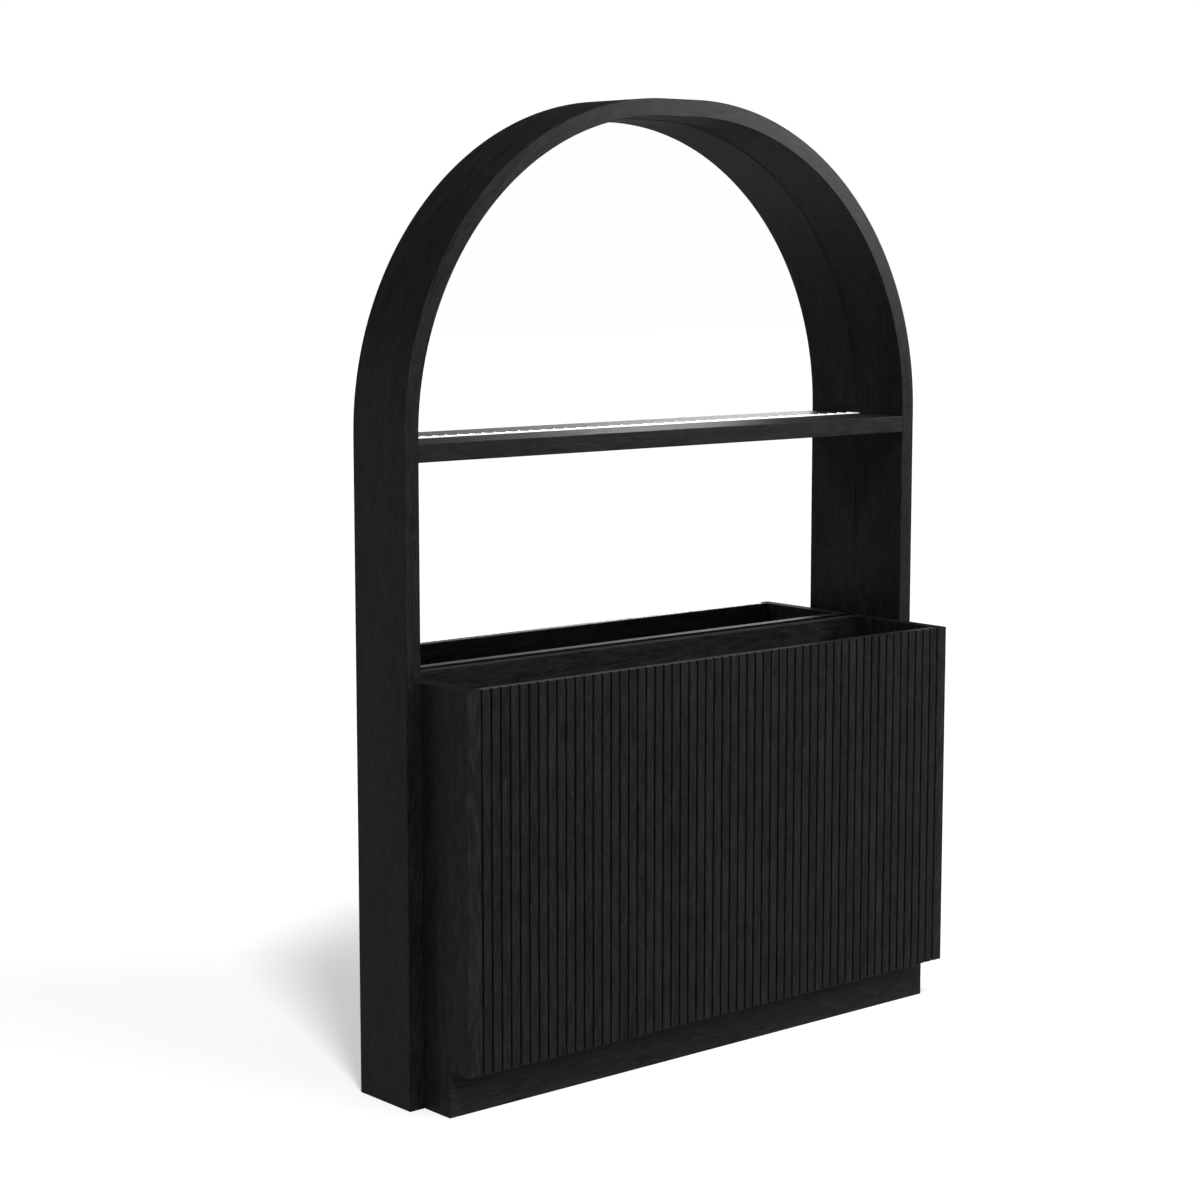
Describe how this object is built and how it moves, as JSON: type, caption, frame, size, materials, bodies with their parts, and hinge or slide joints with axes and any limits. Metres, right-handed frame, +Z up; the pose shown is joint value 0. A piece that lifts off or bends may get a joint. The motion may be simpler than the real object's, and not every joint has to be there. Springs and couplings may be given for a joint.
{
  "type": "back bar",
  "caption": "Black-stained arched back bar: mirrored back, one lit display shelf, sunk bottle counter and a fluted base cabinet with hidden push-open doors.",
  "frame": {"origin": "on the floor, at the middle of the width and of the whole depth", "axes": "+X to the right seen from the front, +Y to the back, +Z up"},
  "size_m": [1.524, 0.3302, 2.1336],
  "materials": {
    "frame_wood": "black-stained, satin",
    "cabinet_wood": "black-stained, satin",
    "slat_wood": "black-stained, satin",
    "back_board": "black paint, matt",
    "raw_beech": "bare",
    "mirror_glass": "silvered",
    "light_aluminium": "anodised",
    "light_glow": "lit",
    "lead_jacket": "matt",
    "black_steel": "black oxide",
    "zinc_steel": "zinc plated",
    "black_plastic": "fine grain",
    "rocker_plastic": "gloss",
    "plunger_plastic": "satin"
  },
  "bodies": {
    "frame_and_cabinet": {"arch_dowels": "raw_beech", "backing_board": "back_board", "backing_screws": "zinc_steel", "base_back_panel": "cabinet_wood", "base_deck": "cabinet_wood", "base_left_side": "cabinet_wood", "base_right_side": "cabinet_wood", "centre_cupboard_shelf": "cabinet_wood", "counter_bearers": "raw_beech", "counter_board": "cabinet_wood", "cupboard_shelf_pins": "black_steel", "display_shelf": "frame_wood", "frame_bolts": "zinc_steel", "hinge_frame_leaves": "black_steel", "hinge_pins": "black_steel", "kickboard": "cabinet_wood", "kickboard_blocks": "raw_beech", "latch_housings": "black_plastic", "left_arch_quarter": "frame_wood", "left_cupboard_shelf": "cabinet_wood", "left_divider": "cabinet_wood", "left_upright": "frame_wood", "light_channel": "light_aluminium", "light_driver": "black_plastic", "light_lead": "lead_jacket", "light_lenses": "light_glow", "light_tape": "light_glow", "lip_screws": "zinc_steel", "mains_inlet": "black_plastic", "mirror": "mirror_glass", "mirror_ledge_rail": "back_board", "rail_dowels": "raw_beech", "rear_stretcher": "back_board", "right_arch_quarter": "frame_wood", "right_cupboard_shelf": "cabinet_wood", "right_divider": "cabinet_wood", "right_upright": "frame_wood", "shelf_dowels": "raw_beech", "switch_housing": "black_plastic", "switch_lead": "lead_jacket", "trough_lip": "cabinet_wood"},
    "left_door": {"left_door_panel": "cabinet_wood", "left_door_slats": "slat_wood", "left_hinge_leaves": "black_steel", "left_strike_plate": "black_steel"},
    "centre_door": {"centre_door_panel": "cabinet_wood", "centre_door_slats": "slat_wood", "centre_hinge_leaves": "black_steel", "centre_strike_plate": "black_steel"},
    "right_door": {"right_door_panel": "cabinet_wood", "right_door_slats": "slat_wood", "right_hinge_leaves": "black_steel", "right_strike_plate": "black_steel"},
    "left_plunger": {"left_latch_plunger": "plunger_plastic"},
    "centre_plunger": {"centre_latch_plunger": "plunger_plastic"},
    "right_plunger": {"right_latch_plunger": "plunger_plastic"},
    "switch_rocker": {"switch_rocker": "rocker_plastic"}
  },
  "joints": [
    {"name": "left_door_hinge", "type": "hinge", "parent": "frame_and_cabinet", "child": "left_door", "pos_m": [-0.68325, -0.163, 0.508], "axis": [0, 0, -1], "range_deg": [0, 100]},
    {"name": "centre_door_hinge", "type": "hinge", "parent": "frame_and_cabinet", "child": "centre_door", "pos_m": [-0.23292, -0.163, 0.508], "axis": [0, 0, -1], "range_deg": [0, 100]},
    {"name": "right_door_hinge", "type": "hinge", "parent": "frame_and_cabinet", "child": "right_door", "pos_m": [0.69275, -0.163, 0.508], "axis": [0, 0, 1], "range_deg": [0, 100]},
    {"name": "left_latch_push", "type": "slide", "parent": "frame_and_cabinet", "child": "left_plunger", "axis": [0, -1, 0], "range_m": [0, 0.0125]},
    {"name": "centre_latch_push", "type": "slide", "parent": "frame_and_cabinet", "child": "centre_plunger", "axis": [0, -1, 0], "range_m": [0, 0.0125]},
    {"name": "right_latch_push", "type": "slide", "parent": "frame_and_cabinet", "child": "right_plunger", "axis": [0, -1, 0], "range_m": [0, 0.0125]},
    {"name": "rocker_tilt", "type": "hinge", "parent": "frame_and_cabinet", "child": "switch_rocker", "pos_m": [0.756, 0.14605, 0.5844], "axis": [0, -1, 0], "range_deg": [0, 14]}
  ],
  "couplings": [
    {"joint": "left_latch_push", "follows": "left_door_hinge", "m_per_rad": 0.007},
    {"joint": "centre_latch_push", "follows": "centre_door_hinge", "m_per_rad": 0.007},
    {"joint": "right_latch_push", "follows": "right_door_hinge", "m_per_rad": 0.007}
  ]
}
